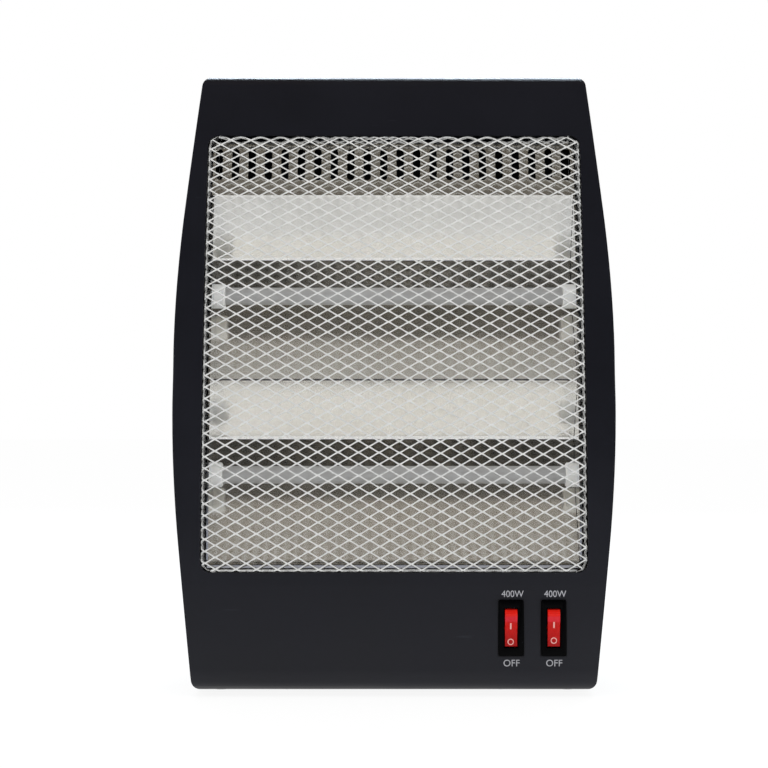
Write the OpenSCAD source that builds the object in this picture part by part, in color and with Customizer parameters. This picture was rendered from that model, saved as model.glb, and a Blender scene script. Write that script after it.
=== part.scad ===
// Electric bar heater: two quartz tubes in front of bent reflectors, behind an expanded metal guard,
// in a wedge-shaped moulded housing that leans back and stands on four rubber feet.
// Millimetres. X runs to the right, the front faces -Y, Z is up, and the origin lies on the floor
// under the middle of the body.

/* [Housing] */
// Widest width of the housing, at half its height
body_w = 247.6; // [240:0.1:300]
// Depth of the housing at its base
body_d = 125; // [118:1:150]
// Overall height with the feet
body_h = 352.5; // [345:0.5:400]
// How far the front face leans back, along an arc, on its way to the top
lean_back = 81.1; // [60:0.1:83]
// Height at which the front face stands upright
lean_z = 23; // [15:1:35]
// Radius of the bulge of both sides, seen from the front
side_r = 985; // [800:5:2000]
// Half height of that bulge, past which the sides run straight
side_arc_h = 95; // [60:1:130]
// Wall of both housings
wall = 2.4; // [1.8:0.1:3.2]
// Radius of the housing's four corners, seen from the front
corner_r = 6; // [3:0.5:10]
// Radius of the edge from the front face to the top
top_edge_r = 9; // [4:0.5:11]
// Radius of the edge from the front face to the floor of the housing
bottom_edge_r = 10; // [4:0.5:12]
// Radius of the rear edges
back_edge_r = 12; // [4:0.5:14]
// Depth at which the two housings part, measured from the back at the floor
part_depth_low = 58; // [50:1:62]
// The same at the top
part_depth_top = 28; // [24:1:32]
// Length of the lip that locates the rear housing in the front one
lip_l = 5; // [3:0.5:8]

/* [Guard] */
// Width of the front housing's border beside the opening
side_border = 16.5; // [16:0.1:30]
// Height of the border above the opening
top_border = 36.3; // [34:0.1:60]
// Height of the lower edge of the opening above the floor
opening_z = 68.4; // [64:0.1:76]
// Corner radius of the opening
opening_r = 6; // [3:0.5:9]
// Depth of the moulded rim round the opening
rim_d = 12; // [6:1:16]
// Gap between the guard and the rim
guard_gap = 0.5; // [0.3:0.1:0.8]
// Thickness of the guard's sheet
guard_t = 1.2; // [0.8:0.1:1.4]
// How far the guard's flanges fold back
guard_flange = 20; // [16:1:21]
// Pitch of the diamonds across the guard, coarser than the real 11.35
mesh_pitch_x = 23.2; // [18:0.1:30]
// Pitch of the diamonds up the guard, coarser than the real 6.5
mesh_pitch_z = 13; // [11:0.1:18]
// Width of a strand
strand = 1.8; // [1.2:0.1:2.4]

/* [Reflectors and tubes] */
// Height of the lower edge of the reflectors above the lower edge of the opening
trough_rise = 5.1; // [4:0.1:8]
// Height of the sheet with the air slots, above the upper trough
vent_h = 32; // [24:0.1:38]
// How much taller the upper trough is than the lower one
upper_extra = 4.9; // [0:0.1:8]
// Gap between the two troughs
trough_split = 1.6; // [1.4:0.1:2.4]
// Distance of the troughs' edges behind the front face
trough_back = 9; // [8:0.5:11]
// Depth of a trough
trough_d = 32; // [28:1:34]
// Thickness of the reflector sheet
reflector_t = 0.8; // [0.5:0.1:1.2]
// Pitch of the air slots
slot_pitch = 9.52; // [8:0.01:14]
// Width of an air slot
slot_w = 4.3; // [3:0.1:5]
// Height of an air slot
slot_h = 18.8; // [12:0.1:20]
// Diameter of a quartz tube
tube_d = 10; // [8:0.5:11]
// Wall of a quartz tube
tube_wall = 1.2; // [0.8:0.1:1.6]
// Distance of a tube behind the edges of its trough
tube_depth = 18; // [18:0.5:20]
// Diameter of the heating coil
coil_d = 6; // [4:0.5:6.4]
// Diameter of a ceramic end cap
cap_d = 14; // [13:0.5:15]
// Length of a ceramic end cap
cap_l = 17; // [14:0.5:17.5]

/* [Switches] */
// Width of a switch's front flange
bezel_w = 14; // [13:0.5:16]
// Height of the flange
bezel_h = 31; // [29:0.5:34]
// Thickness of the flange
bezel_t = 2; // [1.5:0.1:3]
// Distance of the outer switch from the side of the body
switch_inset = 35.8; // [34:0.1:44]
// Distance between the two switches
switch_pitch = 23.5; // [18:0.5:28]
// Height of the switches above the floor
switch_z = 38.2; // [36:0.1:42]
// Width of a rocker
rocker_w = 7.2; // [6:0.1:8]
// Radius of a rocker's ends about its pivot
rocker_r = 10.8; // [10:0.1:11.4]
// Turn of a rocker from off to on
rocker_turn = 22; // [14:1:24]
// Diameter of the rocker's pivot pins
pivot_d = 2.2; // [1.6:0.1:3]

/* [Base] */
// Height of the rubber feet
foot_h = 3; // [2.5:0.5:8]
// Diameter of the feet
foot_d = 14; // [10:1:16]
// Distance of the feet from the widest side of the body
foot_inset = 25.8; // [25:0.1:29]
// Travel of the tip-over plunger
plunger_travel = 4; // [3:0.5:5]
// Diameter of the plunger's stem
plunger_d = 5; // [4:0.5:6]
// Diameter of the spring's wire
spring_wire = 0.7; // [0.5:0.1:1]
// Number of the spring's turns
spring_turns = 5; // [3:1:7]
// Diameter of the mains lead that the inlet bush takes
lead_d = 7; // [5:0.5:8]

/* [Hidden] */

// Fits
fit = 0.3;
slide_fit = 0.2;
pin_fit = 0.05;
screw_fit = 0.1;

// Radius of the arc that the front face follows
lean_r = ((body_h - lean_z) ^ 2 + lean_back ^ 2) / (2 * lean_back);

// How far the rockers stand out in front when they are off, with their pivots behind the face of the flange
seat_back = lean_r - sqrt(lean_r ^ 2 - (switch_z + bezel_h / 2 + 1 - lean_z) ^ 2);
rocker_face = 4;
pivot_back = rocker_face + 0.2;
rocker_lean = rocker_turn / 2;
rocker_edge = (sqrt(rocker_r ^ 2 - (rocker_face * cos(rocker_lean)) ^ 2) - rocker_face * sin(rocker_lean)) * cos(rocker_lean);
rocker_out = rocker_face * cos(rocker_lean) + 2 * rocker_edge * sin(rocker_lean) + bezel_t - seat_back - pivot_back;

// Levels and places that follow from the sizes above
floor_z = foot_h;
mid_z = (body_h + floor_z) / 2;
bush_out = 3;
total_d = body_d + rocker_out + bush_out;
front_face = rocker_out - total_d / 2;
back_y = total_d / 2 - bush_out;
face_steps = 32;
arc_steps = 6;
reach = 400;

opening_w = body_w - 2 * side_border;
opening_h = body_h - opening_z - top_border;
guard_w = opening_w - 2 * guard_gap;
guard_h = opening_h - 2 * guard_gap;
guard_z = opening_z + guard_gap;
guard_recess = 0.6;
seam_w = 0.5;
seam_d = 0.9;

bracket_t = 1;
bracket_gap = 1.4;
bracket_x = guard_w / 2 - guard_t - bracket_gap - bracket_t;
reflector_half = bracket_x - slide_fit;
vent_half = guard_w / 2 - guard_t - 2;
vent_edge = 3.2;
vent_top_z = opening_z + opening_h - vent_edge;
upper_top_z = vent_top_z - vent_h;
lower_z = opening_z + trough_rise;
lower_trough_h = (upper_top_z - lower_z - trough_split - upper_extra) / 2;
upper_trough_h = lower_trough_h + upper_extra;
upper_z = lower_z + lower_trough_h + trough_split;
slot_count = floor((2 * vent_half - slot_w - 1.2) / slot_pitch) + 1;
carrier_z = guard_z + opening_r + slide_fit;
carrier_top_z = guard_z + guard_h - opening_r - slide_fit;

// Shares of a trough's opening at which its sheet bends
bend_low = 0.5;
lower_bend = 0.729;
upper_bend = 0.75;
tube_share = 0.5;

switch_x = body_w / 2 - switch_inset;
switch_spots = [switch_x - switch_pitch, switch_x];
seat_y = front_face + seat_back;
bezel_y = seat_y - bezel_t;
pivot_y = bezel_y + pivot_back;
switch_body_w = bezel_w - 1.4;
switch_body_h = bezel_h - 2.6;
switch_body_d = 19;
blade_l = 8;

boss_r = 4;
well_r = 5.5;
housing_screw_r = 1.45;
housing_screw_l = 12;
bracket_screw_l = 9;
base_screw_l = 9;
shield_screw_l = 4;
boss_half = [body_w / 2 - 22, guard_w / 2 + 9, body_w / 2 - 30];
boss_z = [floor_z + 26, mid_z, body_h - 17.5];
boss_spots = [for (i = [0:2]) for (s = [-1, 1]) [s * boss_half[i], boss_z[i]]];

foot_x = body_w / 2 - foot_inset;
base_half = foot_x - 13;
base_front = -31;
base_rear = 42;
ledge = 8;
plate_z = floor_z + wall;
plate_t = 2;
base_screw_spots = [for (x = [25 - base_half, base_half - 25]) for (y = [base_front - ledge / 2, base_rear + ledge / 2]) [x, y]];
foot_front = -22;
foot_rear = 48;

lower_tube = trough_point(lower_z, lower_trough_h, tube_share, tube_depth);
upper_tube = trough_point(upper_z, upper_trough_h, tube_share, tube_depth);
lug_spots = [lower_tube[1] - 28.8, upper_tube[1] + 22.2];
lug_x = guard_w / 2 + 7.2;
lug_back = guard_flange + 4;

tilt_x = 45 - base_half;
tilt_y = 10;
collar_t = 1.5;
collar_z = plate_z + plate_t + plunger_travel;
spring_z = collar_z + collar_t;
spring_l = 10;
frame_z = spring_z + spring_l;
frame_t = 1.2;
stem_top_z = frame_z + frame_t + 5;
lever_arm = 14;
lever_t = 0.5;
lever_z = stem_top_z + fit;

inlet_x = base_half - 23;
inlet_z = floor_z + 24;

// ---- Geometry helpers ----

function unit(v) = v / norm(v);

// Depth of the front face at a height, or of a surface inset from it
function face_y(z, inset = 0) =
  front_face + lean_r - sqrt((lean_r - inset) ^ 2 - (z - lean_z) ^ 2);

// Half width of the housing at a height: an arc in the middle, and straight past it
function half_w(z) = let (
    dz = abs(z - mid_z),
    slope = side_arc_h / sqrt(side_r ^ 2 - side_arc_h ^ 2),
    in_arc = min(dz, side_arc_h)
  ) body_w / 2 - side_r + sqrt(side_r ^ 2 - in_arc ^ 2) - slope * (dz - in_arc);

// Depth of the plane at which the two housings part
function part_y(z) =
  back_y - part_depth_low + (part_depth_low - part_depth_top) * (z - floor_z) / (body_h - floor_z);

// The points that round the corner p between its neighbours a and b
function corner(a, p, b, r) = r <= 0 ? [p] : let (
    u = unit(a - p),
    v = unit(b - p),
    half = acos(u * v) / 2,
    t = r / tan(half),
    c = p + unit(u + v) * r / sin(half),
    s = p + u * t - c,
    e = p + v * t - c,
    start = atan2(s[1], s[0]),
    sweep = (atan2(e[1], e[0]) - start + 540) % 360 - 180
  ) [for (i = [0:arc_steps]) c + r * [cos(start + sweep * i / arc_steps), sin(start + sweep * i / arc_steps)]];

// A closed outline from points [x, y, corner radius]
function rounded(path) = let (n = len(path), p = [for (q = path) [q[0], q[1]]])
  [for (i = [0:n - 1]) each corner(p[(i + n - 1) % n], p[i], p[(i + 1) % n], path[i][2])];

// A rectangle's outline with one radius for its lower and one for its upper corners
function box_path(x0, x1, y0, y1, low_r, high_r) =
  rounded([[x0, y0, low_r], [x1, y0, low_r], [x1, y1, high_r], [x0, y1, high_r]]);

// Normals of a bent sheet's path, which point to its back
function seg_normal(a, b) = let (u = unit(b - a)) [u[1], -u[0]];
function bend_normal(p, i) =
  i == 0 ? seg_normal(p[0], p[1]) :
  i == len(p) - 1 ? seg_normal(p[i - 1], p[i]) :
  let (a = seg_normal(p[i - 1], p[i]), b = seg_normal(p[i], p[i + 1])) (a + b) / (1 + a * b);

// The outline of a sheet of thickness t bent along a path
function sheet_path(p, t) = concat(p, [for (i = [len(p) - 1:-1:0]) p[i] + t * bend_normal(p, i)]);

// A closed ring band of the side view between two insets of the front face
function face_band(z0, z1, near, far) = concat(
  [for (i = [0:face_steps]) let (z = z0 + (z1 - z0) * i / face_steps) [face_y(z) + near, z]],
  [for (i = [face_steps:-1:0]) let (z = z0 + (z1 - z0) * i / face_steps) [face_y(z) + far, z]]
);

// Extrudes an outline of the side view [y, z] from x0 to x1
module along_x(x0, x1) {
  translate([x0, 0, 0]) rotate([90, 0, 90]) linear_extrude(x1 - x0) children();
}

// Extrudes an outline of the front view [x, z] from y0 to y1
module along_y(y0, y1) {
  translate([0, y1, 0]) rotate([90, 0, 0]) linear_extrude(y1 - y0) children();
}

// A cylinder along X or Y from one place to another
module rod_x(x0, x1, r) {
  translate([x0, 0, 0]) rotate([0, 90, 0]) cylinder(r = r, h = x1 - x0, $fn = 48);
}
module rod_y(y0, y1, r) {
  translate([0, y0, 0]) rotate([-90, 0, 0]) cylinder(r = r, h = y1 - y0, $fn = 48);
}

module both_sides() {
  children();
  mirror([1, 0, 0]) children();
}

// ---- Housing ----

function side_outline(inset) = let (
    z0 = floor_z + inset,
    z1 = body_h - inset,
    y1 = back_y - inset,
    step = (z1 - z0) / face_steps
  ) rounded(concat(
    [[face_y(z0, inset), z0, bottom_edge_r - inset]],
    [for (i = [1:face_steps - 1]) [face_y(z0 + step * i, inset), z0 + step * i, 0]],
    [[face_y(z1, inset), z1, top_edge_r - inset], [y1, z1, back_edge_r - inset], [y1, z0, back_edge_r - inset]]
  ));

function front_outline(inset) = let (
    z0 = floor_z + inset,
    z1 = body_h - inset,
    step = (z1 - z0) / face_steps,
    side = [for (i = [1:face_steps - 1]) [half_w(z0 + step * i) - inset, z0 + step * i, 0]]
  ) rounded(concat(
    [[half_w(z0) - inset, z0, corner_r - inset]], side, [[half_w(z1) - inset, z1, corner_r - inset]],
    [[inset - half_w(z1), z1, corner_r - inset]],
    [for (i = [len(side) - 1:-1:0]) [-side[i][0], side[i][1], 0]],
    [[inset - half_w(z0), z0, corner_r - inset]]
  ));

// The whole body, or the space inside it when it is inset
module body(inset = 0) {
  intersection() {
    along_x(-reach / 2, reach / 2) polygon(side_outline(inset));
    along_y(-reach / 2, reach / 2) polygon(front_outline(inset));
  }
}

// All that lies in front of the parting plane, moved back by shift
module front_zone(shift = 0) {
  along_x(-reach / 2, reach / 2) polygon([
    [-reach, -reach], [part_y(-reach) + shift, -reach], [part_y(reach * 2) + shift, reach * 2], [-reach, reach * 2]
  ]);
}

module opening_outline(grow = 0) {
  polygon(box_path(-opening_w / 2 - grow, opening_w / 2 + grow, opening_z - grow, opening_z + opening_h + grow,
    opening_r + grow, opening_r + grow));
}

// The moulded rim that folds back round the opening
module opening_rim() {
  intersection() {
    along_y(-body_d, back_y) difference() {
      opening_outline(wall);
      opening_outline();
    }
    along_x(-reach / 2, reach / 2) polygon(face_band(floor_z + 20, body_h - 10, wall / 2, rim_d));
  }
}

module base_cut() {
  translate([0, 0, floor_z - 1]) linear_extrude(wall + 2)
    polygon(box_path(-base_half, base_half, base_front, base_rear, 8, 8));
}

module base_screw_holes() {
  for (p = base_screw_spots) translate([p[0], p[1], floor_z - 1]) cylinder(r = 1.7, h = wall + 2, $fn = 32);
}

module foot_holes() {
  for (x = [-foot_x, foot_x]) for (y = [foot_front, foot_rear])
    translate([x, y, floor_z - 1]) cylinder(r = foot_d / 4, h = wall + 2, $fn = 32);
}

module switch_cutouts() {
  for (x = switch_spots) translate([x, 0, switch_z]) {
    along_y(-body_d, seat_y) square([bezel_w + 2 * fit, bezel_h + 2 * fit], center = true);
    along_y(-body_d, back_y - 40) square([switch_body_w + 2 * fit, switch_body_h + 2 * fit], center = true);
  }
}

module front_housing() {
  color("#1d1d22") difference() {
    union() {
      intersection() {
        difference() {
          body();
          body(wall);
        }
        front_zone();
      }
      opening_rim();
      intersection() {
        body(wall / 2);
        union() {
          for (p = boss_spots) translate([p[0], 0, p[1]]) rod_y(front_face, part_y(p[1]) - screw_fit, boss_r);
          for (s = [-1, 1]) for (z = lug_spots) translate([s * lug_x, 0, z])
            rod_y(front_face, face_y(z) + lug_back - screw_fit, boss_r - 0.5);
        }
      }
    }
    along_y(-body_d, back_y) opening_outline();
    switch_cutouts();
    base_cut();
    base_screw_holes();
    foot_holes();
    for (p = boss_spots) translate([p[0], 0, p[1]]) rod_y(part_y(p[1]) - housing_screw_l - 2, part_y(p[1]) + 1, housing_screw_r);
    for (s = [-1, 1]) for (z = lug_spots) translate([s * lug_x, 0, z])
      rod_y(face_y(z) + lug_back - bracket_screw_l - 1, face_y(z) + lug_back + 1, housing_screw_r);
  }
}

louvre_w = body_w - 100;
louvre_h = 4;
louvre_pitch = 9;
grip_w = 96;
grip_h = 27;
grip_d = 24;
grip_z = body_h - 44;

// Rows of long air slots through the rear wall
module louvres(z0, count) {
  for (i = [0:count - 1]) translate([0, 0, z0 + louvre_pitch * i])
    along_y(back_y - wall - 1, back_y + 1)
      polygon(box_path(-louvre_w / 2, louvre_w / 2, -louvre_h / 2, louvre_h / 2, louvre_h / 2.1, louvre_h / 2.1));
}

module grip_outline(grow = 0) {
  polygon(box_path(-grip_w / 2 - grow, grip_w / 2 + grow, grip_z - grow, grip_z + grip_h + grow, 7 + grow, 7 + grow));
}

// A layer of the body's wall between two insets, over a stretch along the parting plane
module wall_ring(near, far, from, to) {
  difference() {
    intersection() {
      difference() {
        body(near);
        body(far);
      }
      front_zone(to);
    }
    front_zone(from);
  }
}

// The lip on the rear housing that reaches into the front one, with its root on the rear wall
module locating_lip() {
  difference() {
    union() {
      wall_ring(wall + 0.25, wall + 1.6, -lip_l, 3);
      wall_ring(wall / 2, wall + 1.6, 0, 3);
    }
    translate([-base_half - ledge - 1, -body_d, 0])
      cube([2 * (base_half + ledge + 1), body_d * 2, plate_z + plate_t + 1]);
  }
}

module rear_housing() {
  color("#1b1b20") difference() {
    union() {
      difference() {
        body();
        body(wall);
        front_zone();
        wall_ring(-1, seam_d, -1, seam_w);
      }
      locating_lip();
      for (p = boss_spots) translate([p[0], 0, p[1]]) rod_y(part_y(p[1]) + screw_fit, back_y - wall / 2, well_r);
      along_y(back_y - grip_d, back_y - wall / 2) grip_outline(2);
    }
    along_y(back_y - grip_d + 2, back_y + 1) grip_outline();
    for (p = boss_spots) translate([p[0], 0, p[1]]) {
      rod_y(part_y(p[1]) + 2.5 + screw_fit, back_y + 1, well_r - 1.6);
      rod_y(part_y(p[1]) - 1, back_y, housing_screw_r + 0.3);
    }
    louvres(mid_z + 36, 9);
    louvres(opening_z - 1.5, 6);
    translate([inlet_x, 0, inlet_z]) rod_y(back_y - wall - 1, back_y + 1, lead_d / 2 + 2.6);
    base_cut();
    base_screw_holes();
    foot_holes();
  }
}

// ---- Base ----

module base_plate() {
  color("#26262a") difference() {
    union() {
      translate([0, 0, floor_z]) linear_extrude(wall + plate_t / 2)
        polygon(box_path(-base_half + fit, base_half - fit, base_front + fit, base_rear - fit, 7.7, 7.7));
      translate([0, 0, plate_z]) linear_extrude(plate_t)
        polygon(box_path(-base_half - ledge, base_half + ledge, base_front - ledge, base_rear + ledge, 4, 4));
      for (p = base_screw_spots) translate([p[0], p[1], plate_z]) cylinder(r = 3.4, h = 9, $fn = 48);
    }
    for (p = base_screw_spots) translate([p[0], p[1], plate_z - 1]) cylinder(r = 1.3, h = 9, $fn = 32);
    translate([tilt_x, tilt_y, floor_z - 1]) cylinder(r = plunger_d / 2 + 1.5 + slide_fit, h = 12, $fn = 48);
  }
}

module rubber_feet() {
  r = foot_d / 2;
  peg_r = foot_d / 4;
  color("#151515") for (x = [-foot_x, foot_x]) for (y = [foot_front, foot_rear])
    translate([x, y, 0]) rotate_extrude($fn = 64) polygon([
      [0, 1], [r * 0.45, 1], [r * 0.6, 0], [r - 0.8, 0], [r, 0.8], [r - 0.6, floor_z], [peg_r - 0.05, floor_z],
      [peg_r - 0.05, plate_z], [peg_r + 0.7, plate_z + fit / 2], [peg_r - 0.5, plate_z + 2], [0, plate_z + 2]
    ]);
}

// ---- Guard ----

module guard_outline(inset = 0) {
  polygon(box_path(inset - guard_w / 2, guard_w / 2 - inset, guard_z + inset, guard_z + guard_h - inset,
    opening_r - guard_gap - inset, opening_r - guard_gap - inset));
}

// The space between two depths behind the front face, over the guard's height
module guard_band(near, far) {
  along_x(-reach / 2, reach / 2) polygon(face_band(guard_z - 1, guard_z + guard_h + 1, near, far));
}

// A diamond hole of a mesh with the pitches w and h
function diamond(w, h) = let (
    side = norm([w, h]),
    cut_w = w / 2 - strand / 2 * side / h,
    cut_h = h / 2 - strand / 2 * side / w
  ) [[-cut_w, 0], [0, -cut_h], [cut_w, 0], [0, cut_h]];

module guard_mesh() {
  columns = floor(guard_w / mesh_pitch_x);
  rows = floor((guard_h - 0.1) / mesh_pitch_z);
  middle = guard_z + guard_h / 2;
  deep = guard_recess + guard_flange / 2 + guard_t / 2;
  color("#dcdcdc") difference() {
    intersection() {
      along_y(-body_d, back_y) guard_outline();
      guard_band(guard_recess, guard_recess + guard_flange);
    }
    intersection() {
      along_y(-body_d, back_y) guard_outline(guard_t);
      guard_band(guard_recess + guard_t, guard_recess + guard_flange + 10);
    }
    for (i = [0:columns - 1]) for (j = [0:rows - 1])
      translate([(i - (columns - 1) / 2) * mesh_pitch_x, 0, middle + (j - (rows - 1) / 2) * mesh_pitch_z])
        along_y(-body_d, back_y - 10) polygon(diamond(mesh_pitch_x, mesh_pitch_z));
    for (i = [0:columns - 2]) for (j = [0:rows - 2])
      translate([(i - columns / 2 + 1) * mesh_pitch_x, 0, middle + (j - rows / 2 + 1) * mesh_pitch_z])
        along_y(-body_d, back_y - 10) polygon(diamond(mesh_pitch_x, mesh_pitch_z));
    for (j = [0:rows - 2]) let (z = middle + (j - rows / 2 + 1) * mesh_pitch_z)
      translate([0, face_y(z) + deep, z])
        along_x(-guard_w, guard_w) polygon(diamond(guard_flange - 2, mesh_pitch_z));
    for (i = [0:columns - 2]) for (z = [guard_z, guard_z + guard_h])
      translate([(i - columns / 2 + 1) * mesh_pitch_x, face_y(z) + deep, z - 5])
        linear_extrude(10) polygon(diamond(mesh_pitch_x, guard_flange - 4));
  }
}

// ---- Reflectors and their carriers ----

function trough_low(z0) = [face_y(z0) + trough_back, z0];
function trough_point(z0, h, share, depth) = let (
    a = trough_low(z0),
    b = trough_low(z0 + h),
    u = unit(b - a)
  ) a + norm(b - a) * share * u + depth * [u[1], -u[0]];

function trough(z0, h, bend_high) = [
  trough_low(z0), trough_point(z0, h, bend_low, trough_d), trough_point(z0, h, bend_high, trough_d), trough_low(z0 + h)
];

module reflector_lower() {
  lip = trough_low(lower_z - 3);
  color("#c9c7bf") along_x(-reflector_half, reflector_half)
    polygon(sheet_path(concat([lip], trough(lower_z, lower_trough_h, lower_bend)), reflector_t));
}

module reflector_upper() {
  flange_top = [face_y(vent_top_z) + trough_back, vent_top_z];
  slot_z = (upper_top_z + vent_top_z) / 2 + 2.6;
  color("#c9c7bf") difference() {
    along_x(-vent_half, vent_half)
      polygon(sheet_path(concat(trough(upper_z, upper_trough_h, upper_bend), [flange_top]), reflector_t));
    both_sides() translate([reflector_half, -body_d, 0]) cube([body_w, 2 * body_d, upper_top_z + slide_fit]);
    for (i = [0:slot_count - 1]) translate([(i - (slot_count - 1) / 2) * slot_pitch, 0, slot_z])
      along_y(-20, back_y - 10)
        polygon(box_path(-slot_w / 2, slot_w / 2, -slot_h / 2, slot_h / 2, slot_w / 2.1, slot_w / 2.1));
  }
}

// The heat shield lies along a straight line that passes behind the upper trough's back
shield_gap = 4;
shield_low = [trough_point(lower_z, lower_trough_h, bend_low, trough_d)[0] + 2 * shield_gap, carrier_z];
shield_past = trough_point(upper_z, upper_trough_h, upper_bend, trough_d) + [reflector_t + shield_gap, 0];
shield_top = shield_low + (shield_past - shield_low) * (carrier_top_z - carrier_z) / (shield_past[1] - carrier_z);
shield_t = 0.8;
shield_tab = 9;
shield_tilt = atan2(shield_top[0] - shield_low[0], shield_top[1] - shield_low[1]);

// Puts its child at each screw of the heat shield, with +Z driven forwards through the sheet
module at_shield_screws() {
  for (s = [-1, 1]) for (share = [0.12, 0.88])
    let (at = shield_low + (shield_top - shield_low) * share)
      translate([s * (bracket_x - 5), at[0] + shield_t + bracket_t + 0.15, at[1]])
        rotate([90 - shield_tilt, 0, 0]) children();
}

module shield_holes() {
  at_shield_screws() cylinder(r = 1.3, h = 12, center = true, $fn = 32);
}

module bracket() {
  rear = sheet_path([shield_low + [shield_t + 0.1, 0], shield_top + [shield_t + 0.1, 0]], bracket_t);
  steps = 12;
  color("#a9a9a6") difference() {
    union() {
      along_x(bracket_x, bracket_x + bracket_t) polygon(concat(
        [for (i = [0:steps]) let (z = shield_low[1] + (upper_top_z - 2 - shield_low[1]) * i / steps) [face_y(z) + trough_back - 2, z]],
        [[face_y(upper_top_z) + trough_back + 3, upper_top_z], [face_y(shield_top[1]) + trough_back + 3, shield_top[1]]],
        [rear[2], rear[3]]
      ));
      along_x(bracket_x - shield_tab, bracket_x + bracket_t) polygon(rear);
      for (z = lug_spots) translate([bracket_x, face_y(z) + lug_back, z - 7])
        cube([lug_x + boss_r - 1.3 - bracket_x, bracket_t, 14]);
    }
    for (z = lug_spots)
      translate([lug_x, 0, z]) rod_y(face_y(z) + lug_back - 1, face_y(z) + lug_back + 3, housing_screw_r + 0.2);
    shield_holes();
    for (p = [lower_tube, upper_tube]) translate([0, p[0], p[1]]) rod_x(bracket_x - 1, bracket_x + 3, cap_d / 2 + screw_fit);
  }
}

module heat_shield() {
  color("#b5b5b2") difference() {
    along_x(-reflector_half, reflector_half) polygon(sheet_path([shield_low, shield_top], shield_t));
    shield_holes();
  }
}

// ---- Quartz tubes ----

cap_x = bracket_x - 6.3;
cap_out = cap_x + cap_l;
tube_half = bracket_x + 4;

module at_tube(p) {
  translate([0, p[0], p[1]]) children();
}

module quartz_tube(p) {
  color("#e8e6e0", 0.85) at_tube(p) difference() {
    rod_x(-tube_half, tube_half, tube_d / 2);
    rod_x(-tube_half - 1, tube_half + 1, tube_d / 2 - tube_wall);
  }
}

module heating_coil(p) {
  color("#8a8178") at_tube(p) {
    rod_x(-tube_half + 10, tube_half - 10, coil_d / 2);
    both_sides() rod_x(tube_half - 10.5, tube_half + 0.5, 1);
  }
}

module ceramic_caps(p) {
  r = cap_d / 2;
  color("#f2f1ec") at_tube(p) both_sides() translate([cap_x, 0, 0]) rotate([0, 90, 0]) rotate_extrude($fn = 64) polygon([
    [tube_d / 2 + screw_fit, 0], [r - 0.8, 0], [r, 0.8], [r, cap_l - 2], [r - 2, cap_l], [1.7, cap_l],
    [1.7, tube_half - cap_x + 0.2], [tube_d / 2 + screw_fit, tube_half - cap_x + 0.2]
  ]);
}

module tube_terminals() {
  color("#c9a94e") for (p = [lower_tube, upper_tube]) at_tube(p) both_sides() {
    rod_x(tube_half + 0.8, cap_out + 3.5, 1.6);
    translate([cap_out + 0.1, 0, 0]) rotate([0, 90, 0]) cylinder(r = 3.1, h = 2.4, $fn = 6);
  }
}

// ---- Rocker switches ----

module at_switch(x) {
  translate([x, pivot_y, switch_z]) children();
}

well_h = rocker_r + slide_fit;
well_d = 8;

module switch_housing(x) {
  half_w = bezel_w / 2;
  half_h = bezel_h / 2;
  front = bezel_y - pivot_y;
  seat = seat_y - pivot_y;
  color("#141416") at_switch(x) difference() {
    union() {
      along_y(front + 0.6, seat) polygon(box_path(-half_w, half_w, -half_h, half_h, 1, 1));
      along_y(front, front + 1) polygon(box_path(0.6 - half_w, half_w - 0.6, 0.6 - half_h, half_h - 0.6, 0.8, 0.8));
      along_y(seat - 0.5, seat + switch_body_d) square([switch_body_w, switch_body_h], center = true);
    }
    along_y(front - 1, front + well_d + 4) square([rocker_w + 2 * fit, 2 * well_h], center = true);
    rod_x(-rocker_w / 2 - 1.8, rocker_w / 2 + 1.8, pivot_d / 2 + pin_fit);
  }
}

// A rocker leaning out at its upper end, which is off
module rocker(x) {
  tip = rocker_face + rocker_r * tan(rocker_lean);
  color("#d2231c") at_switch(x) {
    rotate([rocker_lean, 0, 0]) along_x(-rocker_w / 2, rocker_w / 2) intersection() {
      circle(r = rocker_r, $fn = 96);
      polygon([[-tip, -rocker_r], [-rocker_face, 0], [-tip, rocker_r], [4, rocker_r], [4, -rocker_r]]);
    }
    rod_x(-rocker_w / 2 - 1.6, rocker_w / 2 + 1.6, pivot_d / 2);
  }
}

module switch_blades() {
  y = seat_y + switch_body_d;
  color("#c9a94e") for (x = switch_spots) for (dz = [-8, 0, 8])
    translate([x - 0.4, y + 0.05, switch_z + dz - 2.4]) difference() {
      cube([0.8, blade_l, 4.8]);
      translate([0, blade_l - 2.6, 2.4]) rod_x(-1, 2, 0.8);
    }
}

// ---- Electrical parts inside ----

module thermal_cutout() {
  at = shield_low + (shield_top - shield_low) * 0.62 + [shield_t + 0.15, 0];
  color("#2b2b2b") translate([20, at[0], at[1]]) rotate([-shield_tilt, 0, 0]) {
    rod_y(0, 5, 8);
    rod_y(4.5, 8, 6);
    for (x = [-3.2, 3.2]) translate([x - 2.2, 7.5, -0.4]) cube([4.4, 7, 0.8]);
  }
}

block_x = base_half - 39;
block_y = 24;
block_w = 32;
block_d = 16;
block_h = 13;

module terminal_block() {
  z = plate_z + plate_t;
  color("#e6e4da") translate([block_x, block_y, z]) difference() {
    union() {
      translate([-block_w / 2, -block_d / 2, 0]) cube([block_w, block_d, block_h - 4]);
      for (i = [-1, 0, 1]) translate([i * 10.5 - 4, -block_d / 2 + 2, 0]) cube([8, block_d - 4, block_h]);
    }
    for (i = [-1, 0, 1]) translate([i * 10.5, 0, 0]) {
      translate([0, 0, 4]) rod_y(-block_d, block_d, 2);
      for (y = [-3, 3]) translate([0, y, 4]) cylinder(r = 1.6, h = block_h, $fn = 32);
    }
  }
}

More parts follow.
